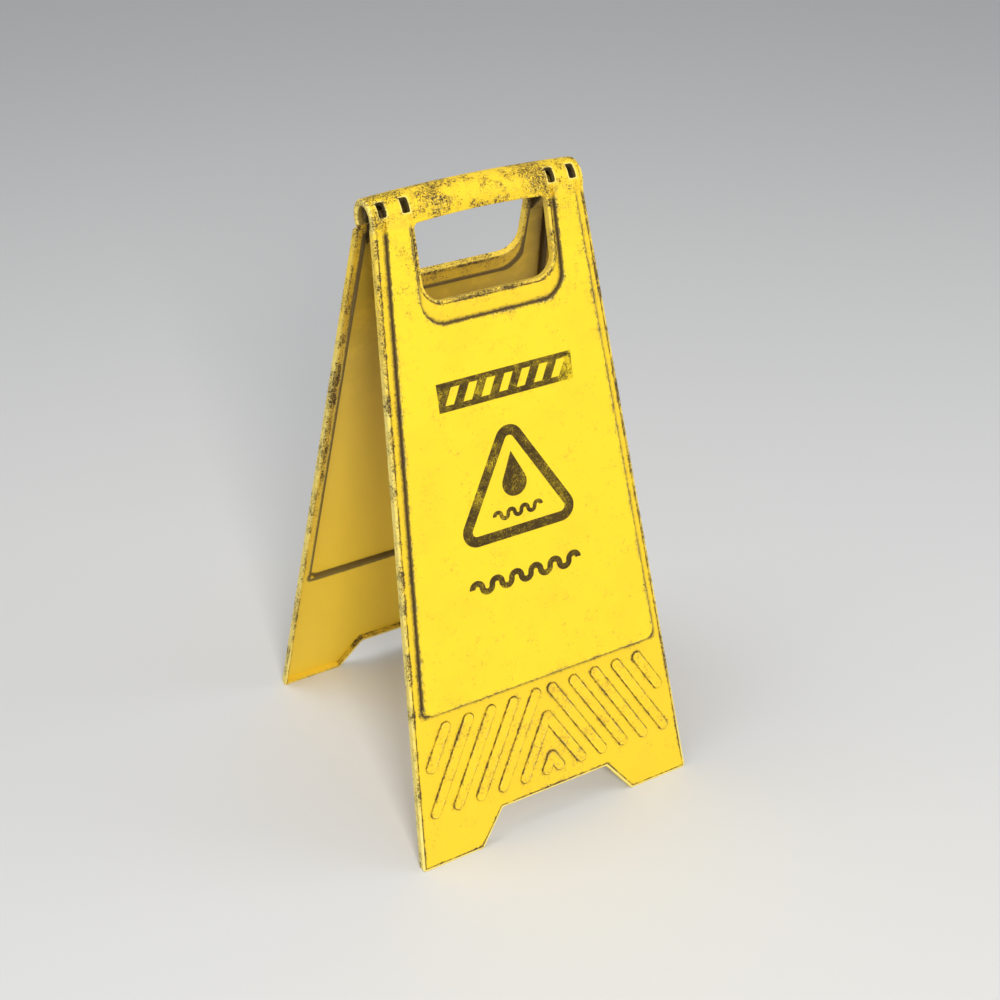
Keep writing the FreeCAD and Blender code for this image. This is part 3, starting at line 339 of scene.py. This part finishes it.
# Where the look changes down the panel, in millimetres below the hinge axis: from none to full.
BAR_ZONE = (14.0, 7.0)
GRIP_ZONE = (22.0, 2.0)
BORE_ZONE = (22.0, 18.0)
WINDOW_ZONE = (4.0, 1.0)
UNDER_GRIP_ZONE = (-4.0, 8.0)
TOP_ZONE = (180.0, 90.0)
UPPER_ZONE = (150.0, 60.0)
FOOT_ZONE = (540.0, 580.0)
# The next two zones are painted shade on the inner side, deepening towards the top.
INNER_SHADE_ZONE = (520.0, 160.0)
DEEP_SHADE_ZONE = (300.0, 20.0)
BORDER_ZONE = (560.0, 240.0)
RUBBED_ZONE = (450.0, 500.0)
LOW_FIELD_ZONE = (FIELD_BOTTOM - 12.0, FIELD_BOTTOM - 6.0)

# The size of each kind of mark, in millimetres.
DARK_SIZE = 2.0
SPECK_SIZE = 1.3
LIGHT_SIZE = 1.5
SCUFF_SIZE = 3.4
FLECK_SIZE = 2.6

# How much each layer of the yellow covers the ones under it.
# The next two are layers of painted shade on the inner side.
INNER_SHADE_COVER = (0.4, 0.9)
DEEP_SHADE_COVER = 0.7
STAIN_COVER = 0.35
FLECK_COVER = 0.75
SCUFF_COVER = 0.4
SCRATCH_COVER = 0.3
HUSK_COVER = 0.8
PALE_COVER = 0.85
LIGHT_COVER = 0.6
SPECK_COVER = 0.75
DARK_COVER = 0.92

# How much of the ink is worn pale, and how much of the yellow shows through where it is gone.
INK_WORN_COVER = 0.75
YELLOW_COVER = 0.75

# How dense the marks are in each zone: 1 covers about half the surface.
RIM_DENSITY = 0.72
RIB_DENSITY = 0.72
UPPER_DENSITY = 0.42
BORDER_DENSITY = 1.1
SIDE_DENSITY = 0.8
GRIP_DENSITY = (0.2, 0.9)

# How far inside the panel's edges and the bar's ends the dark lines run, in millimetres.
EDGE_LINE_INSET = 3.1
END_LINE_INSET = 3.8

# The noise shows as specks where it is above this ramp, and full density lifts it by this much.
GRIT_RAMP = (0.70, 0.73)
GRIT_LIFT = 0.22


def grit(shade, place, size, density):
    """Irregular specks. Density is a field: 0 gives none, 1 covers about half the surface."""
    cloud = shade.noise(place, size, detail=4.0, roughness=0.75)
    return shade.ramp(cloud + density * GRIT_LIFT, *GRIT_RAMP)


class WearAndShade:
    """Where each kind of wear, and the painted shade, lies on a yellow panel, from 0 for none to 1 for
    full.
    """

    def __init__(self, shade, at):
        self.shade = shade
        self.at = at
        self.edge = at.to_edge()
        self.field = at.to_field()
        self.ribs = at.to_ribs()
        self.broad = shade.noise(at.place, 70.0, detail=2.0)
        self.patch = shade.noise(at.moved(40.0, 0.0, 90.0), 22.0, detail=5.0, roughness=0.65)
        self.cluster = shade.noise(at.moved(7.0, 50.0, 20.0), 8.0, detail=4.0, roughness=0.65)
        self.ragged = shade.noise(at.place, 3.2, detail=4.0, roughness=0.7)
        self.fine = shade.noise(at.moved(11.0, 5.0, 3.0), 0.9, detail=3.0, roughness=0.7)
        self.find_regions()
        self.zones = self.find_zones()

    def near_bar(self):
        """The handle bar. This panel has none."""
        return 0.0

    def find_regions(self):
        """The panel's own regions, which each kind of wear is kept to."""
        shade, at = self.shade, self.at
        behind_skin = FACE_DEPTH - SKIN
        behind_field = FACE_DEPTH + FIELD_HEIGHT - SKIN
        off_rim = shade.ramp(self.edge, none=0.6, full=1.2)
        deep = shade.ramp(at.depth, none=behind_skin - 0.2, full=behind_skin - 0.8) * off_rim
        hollow = shade.ramp(self.field, none=-2.2, full=-2.7)
        hollow = hollow * shade.ramp(at.depth, none=behind_field + 0.25, full=behind_field + 0.05)
        self.inner = shade.largest(at.faces_in, deep, hollow)
        self.outer = 1.0 - self.inner
        self.on_bar = self.near_bar()
        self.below_bar = 1.0 - self.on_bar
        self.on_field = shade.ramp(self.field, none=0.5, full=-0.5) * self.below_bar * self.outer
        self.top_end = shade.ramp(at.drop, *TOP_ZONE)
        self.foot_end = shade.ramp(at.drop, *FOOT_ZONE)
        behind_face = shade.ramp(at.depth, none=FACE_DEPTH - 0.6, full=FACE_DEPTH - 2.0)
        self.side_face = behind_face * shade.ramp(self.edge, none=0.8, full=0.3)

    def find_zones(self):
        """Where specks gather: along every edge, rim and rib, near the top and on the sides."""
        shade, at = self.shade, self.at
        foot_rim = shade.ramp(self.edge, none=2.6, full=1.8) * self.foot_end
        edges = shade.ramp(abs(self.edge - 2.2), none=4.5, full=0.8) * (1.0 - foot_rim * 0.85)
        rims = shade.ramp(abs(self.field), none=7.0, full=1.0) * self.outer
        ribs = shade.ramp(abs(self.ribs), none=3.8, full=0.2) * self.outer
        upper = shade.ramp(at.drop, *UPPER_ZONE) * self.outer
        border = shade.ramp(at.drop, *BORDER_ZONE) * shade.ramp(self.field, none=-1.0, full=2.0)
        border = border * self.inner * (1.0 - self.top_end * 0.4)
        sides = self.side_face * (SIDE_DENSITY - self.top_end * 0.35)
        return shade.largest(
            edges, rims * RIM_DENSITY, ribs * RIB_DENSITY, upper * UPPER_DENSITY,
            border * BORDER_DENSITY, sides,
        )

    def patchy(self, noise, none, full, least, most):
        """A strength that varies with a noise, from least to most."""
        return self.shade.ramp(noise, none, full) * (most - least) + least

    def roughened(self, distance, raggedness):
        """A distance with an uneven edge, out by up to half the raggedness each way."""
        return distance + (self.ragged - 0.5) * raggedness

    def line(self, distance, half_width, core, raggedness):
        """A ragged line where the distance is zero."""
        return self.shade.ramp(self.roughened(abs(distance), raggedness), none=half_width, full=core)

    def base_colour(self):
        """Lemon on the raised field, more orange round it, and painted shade on the inner side: dulled,
        and darker up there.
        """
        shade, at = self.shade, self.at
        colour = shade.mix(self.on_field, AMBER, LEMON)
        mottle = shade.ramp(self.broad, none=0.4, full=0.7) * 0.4
        mottle = mottle + shade.ramp(self.patch, none=0.5, full=0.7) * 0.3
        colour = shade.mix(mottle, colour, MOTTLE)
        # Painted shade on the inner side: the yellow is dulled, more so towards the top, and darker
        # still in patches near the top, less so on the strip outside the field.
        inner = self.inner * self.below_bar
        inner_shade = self.patchy(at.drop, *INNER_SHADE_ZONE, *INNER_SHADE_COVER)
        colour = shade.mix(inner * inner_shade, colour, shade.mix(self.top_end, INNER_SHADE, INNER_SHADE_TOP))
        deep_shade = shade.ramp(at.drop, *DEEP_SHADE_ZONE) * shade.ramp(self.patch, none=0.15, full=0.6)
        deep_shade = deep_shade * DEEP_SHADE_COVER * (1.0 - shade.ramp(self.field, none=-1.0, full=2.0) * 0.8)
        return shade.mix(inner * deep_shade, colour, DEEP_SHADE)

    def husk(self):
        """The side faces, paler than the front, but less so inside and near the top."""
        return self.side_face * (1.0 - self.inner * 0.6) * (1.0 - self.top_end * 0.85)

    def pale_edges(self):
        """Worn pale: the panel's edges, and in places the rims of the raised field and the ribs."""
        shade = self.shade
        edges = self.roughened(self.edge, 1.25) - self.foot_end * 0.5
        edges = shade.ramp(edges, none=2.2, full=1.5)
        edges = edges * (self.patchy(self.cluster, 0.35, 0.55, 0.55, 0.95) + self.foot_end * 0.15)
        edges = edges * (1.0 - self.top_end * 0.7)
        rims = self.line(self.field + 1.0, 1.2, 0.4, 1.5) * shade.ramp(self.patch, none=0.46, full=0.62)
        ribs = shade.ramp(abs(self.ribs + 1.4), none=0.8, full=0.2) * self.outer
        ribs = ribs * shade.ramp(self.cluster, none=0.5, full=0.62)
        return shade.largest(edges, rims * 0.7, ribs * 0.45) * self.below_bar

    def edge_lines(self):
        """A thin broken dark line just inside every outer edge."""
        line = self.line(self.edge - EDGE_LINE_INSET, 0.95, 0.3, 1.0)
        line = line * self.outer * (1.0 - self.side_face)
        return line * self.patchy(self.cluster, 0.36, 0.56, 0.2, 0.95)

    def rib_lines(self):
        """A thin broken dark line round every rib."""
        line = self.line(self.ribs - 0.1, 0.85, 0.25, 2.0)
        return line * self.patchy(self.cluster, 0.4, 0.58, 0.35, 0.95) * self.outer

    def speck_density(self):
        """How dense the dark and light specks are."""
        uneven = self.patchy(self.patch, 0.3, 0.7, 0.42, 1.12)
        return self.zones * uneven + (self.patch - 0.5) * 0.55

    def scuff_density(self):
        """How dense the rubbed patches are: most round the ribs, in the middle."""
        shade, at = self.shade, self.at
        rubbed = shade.ramp(at.drop, *RUBBED_ZONE) * shade.ramp(at.away, none=90.0, full=20.0) * 0.5
        return (rubbed + self.zones * 0.4) * self.outer + self.side_face * 0.3 + (self.patch - 0.5)

    def grime_and_shade(self):
        """Painted shade, with some dirt, where the raised field meets the panel, outside and in its
        hollow.
        """
        shade, at = self.shade, self.at
        field_face = FACE_DEPTH + FIELD_HEIGHT
        behind_skin = FACE_DEPTH - SKIN
        behind_field = field_face - SKIN
        # Outside the field, its wall and the crease at its foot are darkened with painted shade and dirt
        # together, and the band beside the wall is a painted shadow.
        wall = shade.ramp(abs(self.field), none=1.2, full=0.3)
        wall = wall * shade.ramp(at.depth, none=field_face - 0.3, full=field_face - 1.6)
        shadow = shade.ramp(self.roughened(self.field, 4.0), none=4.2, full=0.0)
        shadow = shadow * shade.ramp(self.field, none=-1.0, full=0.0)
        crease = self.line(self.field - 0.3, 2.0, 0.7, 4.5)
        outside = shade.largest(wall * 0.95, shadow * 0.75, crease * 0.85) * self.outer

        # Inside, the walls of the field's hollow and a soft band along its edge, broader near the top
        # and the bottom, are painted shade.
        above_floor = shade.ramp(at.depth, none=behind_skin - 0.65, full=behind_skin - 0.05)
        below_roof = shade.ramp(at.depth, none=behind_field + 0.35, full=behind_field + 0.15)
        hollow_wall = shade.ramp(abs(self.field + SKIN), none=1.3, full=0.4)
        hollow_wall = hollow_wall * above_floor * below_roof * (1.0 - self.on_field)
        broad_line = shade.largest(shade.ramp(at.drop, *LOW_FIELD_ZONE), self.top_end)
        inner_line = self.roughened(abs(self.field + 2.0), 2.5) - broad_line * 1.6
        inner_line = shade.ramp(inner_line, none=3.0, full=0.6) * self.inner
        return shade.largest(outside, inner_line * 0.85, hollow_wall * 0.8) * self.below_bar

    def scratches(self):
        """Long fine scratches that slant across the front in places."""
        shade = self.shade
        streak = shade.noise(self.at.squeezed(24.0, 1.0, 0.5, 35.0), 1.0, detail=2.0, roughness=0.5)
        patches = shade.ramp(self.patch, none=0.5, full=0.62)
        return shade.ramp(streak, none=0.70, full=0.76) * patches * self.below_bar * self.outer

    def swell(self):
        """Slow unevenness of the surface."""
        return self.broad * 1.5


class BarWearAndShade(WearAndShade):
    """The same for the panel with the handle bar, whose grip is the most worn."""

    def __init__(self, shade, at):
        super().__init__(shade, at)
        self.heavy = shade.noise(at.moved(212.0, 60.0, 10.0), 16.0, detail=4.0, roughness=0.65)
        self.near_grip = shade.ramp(at.drop, *GRIP_ZONE)
        self.spread = self.find_spread()
        self.window = at.to_windows()
        self.from_end = BAR_HALF - at.away

    def near_bar(self):
        """The handle bar, which the wear of the panel's faces stops short of."""
        return self.shade.ramp(self.at.drop, *BAR_ZONE)

    def find_spread(self):
        """How far the wear has spread on the grip: most in patches either side of its middle."""
        shade, at = self.shade, self.at
        right_hand = shade.ramp(abs(at.across - 56.0), none=34.0, full=6.0) * 0.55
        left_hand = shade.ramp(abs(at.across + 40.0), none=36.0, full=8.0) * 0.45
        ends = shade.ramp(at.away, none=66.0, full=84.0) * 0.25
        fingers = shade.ramp(at.drop, *UNDER_GRIP_ZONE) * shade.ramp(at.away, none=70.0, full=50.0)
        rubbed = shade.largest(right_hand, left_hand, ends, fingers * 0.5)
        return shade.ramp(self.heavy + rubbed * 0.3, none=0.40, full=0.70)

    def pale_edges(self):
        """The bar's ends and the rims of its windows are pale too."""
        shade = self.shade
        ends = shade.ramp(self.roughened(self.from_end, 1.0), none=2.6, full=1.4) * self.on_bar
        rims = shade.ramp(self.roughened(self.window, 0.75), none=1.7, full=0.6) * self.on_bar
        return shade.largest(super().pale_edges(), ends * 0.8, rims * 0.8)

    def edge_lines(self):
        """The bar's ends have a dark line inside them too."""
        line = self.line(self.from_end - END_LINE_INSET, 0.8, 0.2, 1.0) * self.on_bar
        line = line * self.shade.ramp(self.cluster, none=0.42, full=0.6) * 0.7
        return self.shade.largest(super().edge_lines() * self.below_bar, line)

    def speck_density(self):
        """The specks are densest on the grip."""
        least, most = GRIP_DENSITY
        grip = (self.spread * (most - least) + least) * self.near_grip
        return self.shade.largest(super().speck_density() * self.below_bar, grip)

    def scuff_density(self):
        """The grip is scuffed where it is worn."""
        grip = self.spread * self.near_grip * 0.3
        return self.shade.largest(super().scuff_density() * self.below_bar, grip)

    def grime_and_shade(self):
        """Painted shade as well, in the bar's bore and on the walls of its windows."""
        shade, at = self.shade, self.at
        rise = BAR_RISE - at.away * at.away * (BAR_RISE / BAR_HALF ** 2)
        up = at.drop + rise
        radius = shade.math("SQRT", at.depth * at.depth + up * up)
        bore = shade.ramp(radius, none=BAR_INNER + 0.6, full=BAR_INNER - 0.2)
        bore = bore * shade.ramp(at.drop, *BORE_ZONE)
        inside = shade.ramp(radius, none=BAR_RADIUS - 0.5, full=BAR_RADIUS - 1.3)
        inside = inside * shade.ramp(self.window, none=1.0, full=0.4) * shade.ramp(at.drop, *WINDOW_ZONE)
        return shade.largest(super().grime_and_shade(), bore * 0.92, inside * 0.9)

    def swell(self):
        """The bar is more uneven than the panel."""
        return super().swell() + self.heavy * self.on_bar * 3.0


def worn_yellow(name, facing, has_bar):
    """Yellow plastic, scuffed and speckled, with pale worn edges, dirt and painted shade in the creases
    and hollows, and painted shade on the inner side.
    """
    shade = Shade(name)
    at = PanelFrame(shade, facing)
    wear = BarWearAndShade(shade, at) if has_bar else WearAndShade(shade, at)
    pale_edge = wear.pale_edges()
    scratch = wear.scratches()
    grime_and_shade = wear.grime_and_shade()

    density = wear.speck_density()
    dark = grit(shade, at.moved(3.0, 7.0, 1.0), DARK_SIZE, density - 0.1)
    specks = grit(shade, at.moved(31.0, 17.0, 81.0), SPECK_SIZE, density + 0.05)
    light = grit(shade, at.moved(91.0, 3.0, 11.0), LIGHT_SIZE, density * 0.8)
    scuff = grit(shade, at.moved(60.0, 7.0, 31.0), SCUFF_SIZE, wear.scuff_density())
    freckled = shade.ramp(wear.patch, none=0.35, full=0.65) * 0.55
    freckled = freckled + shade.ramp(wear.ribs, none=6.0, full=0.0) * 0.3
    fleck = grit(shade, at.moved(15.0, 70.0, 45.0), FLECK_SIZE, freckled)
    stain = shade.ramp(wear.cluster + density * 0.3, none=0.6, full=0.85)
    dark = shade.largest(dark, wear.edge_lines(), wear.rib_lines())
    light_cover = wear.outer * (1.0 - wear.side_face * wear.top_end) * LIGHT_COVER

    colour = wear.base_colour()
    stained = shade.largest(stain * STAIN_COVER, fleck * FLECK_COVER) * wear.outer
    colour = shade.mix(stained, colour, STAIN)
    colour = shade.mix(scuff * SCUFF_COVER, colour, TAUPE)
    colour = shade.mix(scratch * SCRATCH_COVER, colour, CREAM)
    colour = shade.mix(wear.husk() * HUSK_COVER, colour, HUSK)
    colour = shade.mix(pale_edge * PALE_COVER, colour, CREAM)
    colour = shade.mix(light * light_cover, colour, CREAM)
    colour = shade.mix(specks * SPECK_COVER, colour, UMBER)
    colour = shade.mix(dark * DARK_COVER, colour, OLIVE)
    # Painted shade and dirt, darkest of all, in the creases, the hollows and the bar's bore.
    colour = shade.mix(grime_and_shade, colour, GRIME_AND_SHADE)

    roughness = 0.44 + wear.fine * 0.12 + scuff * 0.1
    roughness = roughness + shade.largest(grime_and_shade, dark) * 0.3 + pale_edge * 0.1
    grain = shade.noise(at.place, 0.55, detail=2.0, roughness=0.5)
    relief = grain * 0.12 + wear.swell() + wear.ragged * 0.2 + light * 0.25
    relief = relief - dark * 0.6 - specks * 0.4 - scratch * 0.3
    relief = relief - pale_edge * (0.3 + wear.ragged * 0.5)
    return shade.finish(colour, roughness, relief, strength=0.6, height=0.0005, IOR=1.49)


def worn_ink(name, facing):
    """Dark olive print, rubbed thin in places, with the yellow showing through."""
    shade = Shade(name)
    at = PanelFrame(shade, facing)
    cloud = shade.noise(at.place, 16.0, detail=5.0, roughness=0.65)
    ragged = shade.noise(at.moved(3.0, 1.0, 8.0), 1.6, detail=4.0, roughness=0.75)
    fine = shade.noise(at.moved(9.0, 4.0, 2.0), 0.8, detail=3.0, roughness=0.75)
    streak = shade.noise(at.squeezed(14.0, 1.0, 0.5, -35.0), 1.0, detail=2.0, roughness=0.5)
    uneven = cloud - 0.5
    pale = shade.ramp(fine + uneven * 0.7, none=0.47, full=0.6)
    fade = shade.ramp(at.across, none=BANNER_HALF - 26.0, full=BANNER_HALF)
    fade = fade * shade.ramp(at.drop, *BANNER_ZONE)
    gone = fine * 0.5 + ragged * 0.5 + uneven * 0.7 + fade * 0.16
    gone = shade.ramp(gone, none=0.60, full=0.67)
    fleck = shade.ramp(fine + uneven * 0.5, none=0.57, full=0.62)
    scratch = shade.ramp(streak, none=0.66, full=0.70) * shade.ramp(cloud, none=0.5, full=0.6)
    through = shade.largest(gone, scratch, fleck * 0.55)

    colour = shade.mix(pale * INK_WORN_COVER, INK, INK_WORN)
    colour = shade.mix(through * YELLOW_COVER, colour, LEMON)
    roughness = 0.5 + fine * 0.2 + through * 0.1
    dull = {"Specular IOR Level": 0.25}
    return shade.finish(colour, roughness, ragged - through, strength=0.4, height=0.0001, **dull)


def zinc_steel(name):
    """Zinc-plated steel, slightly blotched."""
    shade = Shade(name)
    coordinates = shade.node("ShaderNodeTexCoord")
    scaled = shade.node("ShaderNodeVectorMath", operation="SCALE")
    shade.feed(scaled.inputs[0], coordinates.outputs["Object"])
    scaled.inputs["Scale"].default_value = TO_MM
    blotch = shade.noise(scaled.outputs[0], 2.5, detail=4.0)
    fine = shade.noise(scaled.outputs[0], 0.3, detail=2.0)
    colour = shade.mix(shade.ramp(blotch, none=0.4, full=0.65), ZINC, ZINC_DULL)
    roughness = 0.32 + blotch * 0.2
    return shade.finish(colour, roughness, fine, strength=0.3, height=0.0001, Metallic=1.0)


def dress(node, material):
    """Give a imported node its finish."""
    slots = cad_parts[node].material_slots
    for slot in slots:
        slot.material = material


def dress_all():
    """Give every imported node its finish."""
    finishes = {
        "front": (worn_yellow("front_yellow", -1, True), worn_ink("front_ink", -1)),
        "rear": (worn_yellow("rear_yellow", 1, False), worn_ink("rear_ink", 1)),
    }
    steel = zinc_steel("pin_steel")
    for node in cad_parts:
        side = node.split("_")[0]
        if node.endswith("panel"):
            dress(node, finishes[side][0])
        elif node.endswith("print"):
            dress(node, finishes[side][1])
        else:
            dress(node, steel)


# ---- stage ----------------------------------------------------------------------------------

FLOOR_REACH = 40.0
FLOOR_PALE = rgb(222, 222, 220)
FLOOR_DULL = rgb(214, 214, 213)


def make_floor():
    """A plain pale floor, large enough to reach the horizon."""
    shade = Shade("floor_paint")
    coordinates = shade.node("ShaderNodeTexCoord")
    cloud = shade.noise(coordinates.outputs["Object"], 1.5, detail=3.0)
    colour = shade.mix(cloud * 0.3, FLOOR_PALE, FLOOR_DULL)
    shade.finish(colour, 0.7 + cloud * 0.1, cloud, strength=0.05, height=0.001)
    turns = [(-1, -1), (1, -1), (1, 1), (-1, 1)]
    corners = [(x * FLOOR_REACH, y * FLOOR_REACH, 0.0) for x, y in turns]
    mesh = bpy.data.meshes.new("floor")
    mesh.from_pydata(corners, [], [(0, 1, 2, 3)])
    mesh.materials.append(shade.material)
    floor = bpy.data.objects.new("floor", mesh)
    bpy.context.scene.collection.objects.link(floor)


def soft_light(name, place, aim, size, watts, colour=(1.0, 1.0, 1.0)):
    """A square area light aimed at a point."""
    light = bpy.data.lights.new(name, "AREA")
    light.shape = "SQUARE"
    light.size = size
    light.energy = watts
    light.color = colour
    lamp = bpy.data.objects.new(name, light)
    lamp.location = place
    lamp.rotation_euler = (Vector(aim) - Vector(place)).to_track_quat("-Z", "Y").to_euler()
    bpy.context.scene.collection.objects.link(lamp)


def make_light():
    """Soft studio light: a pale surround, a key from the front left, a fill and a top light."""
    world = bpy.data.worlds.new("studio")
    world.use_nodes = True
    background = world.node_tree.nodes["Background"]
    background.inputs["Color"].default_value = (0.93, 0.95, 1.0, 1.0)
    background.inputs["Strength"].default_value = 0.42
    bpy.context.scene.world = world
    middle = (0.0, 0.0, 0.35)
    soft_light("key", (-0.75, -2.4, 1.8), middle, 0.6, 46.0, (1.0, 0.98, 0.95))
    soft_light("fill", (2.0, -1.2, 1.4), middle, 1.4, 12.0)
    soft_light("top", (-0.8, 0.3, 2.6), middle, 1.4, 22.0)


CAMERA_TARGET = Vector((0.02966, 0.0, 0.27518))
CAMERA_DISTANCE = 1.60304
CAMERA_AZIMUTH = -30.04
CAMERA_ELEVATION = 31.83
CAMERA_LENS = 57.47


def make_camera():
    """The camera, looking slightly down at the front panel from its left."""
    turn = math.radians(CAMERA_AZIMUTH)
    rise = math.radians(CAMERA_ELEVATION)
    back = Vector((math.sin(turn) * math.cos(rise), -math.cos(turn) * math.cos(rise), math.sin(rise)))
    data = bpy.data.cameras.new("camera")
    data.lens = CAMERA_LENS
    data.sensor_width = 36.0
    data.clip_start = 0.05
    data.clip_end = 200.0
    camera = bpy.data.objects.new("camera", data)
    camera.location = CAMERA_TARGET + back * CAMERA_DISTANCE
    camera.rotation_euler = (-back).to_track_quat("-Z", "Y").to_euler()
    bpy.context.scene.collection.objects.link(camera)
    bpy.context.scene.camera = camera


make_camera()
make_light()
make_floor()
dress_all()
bpy.context.scene.view_settings.view_transform = "Standard"
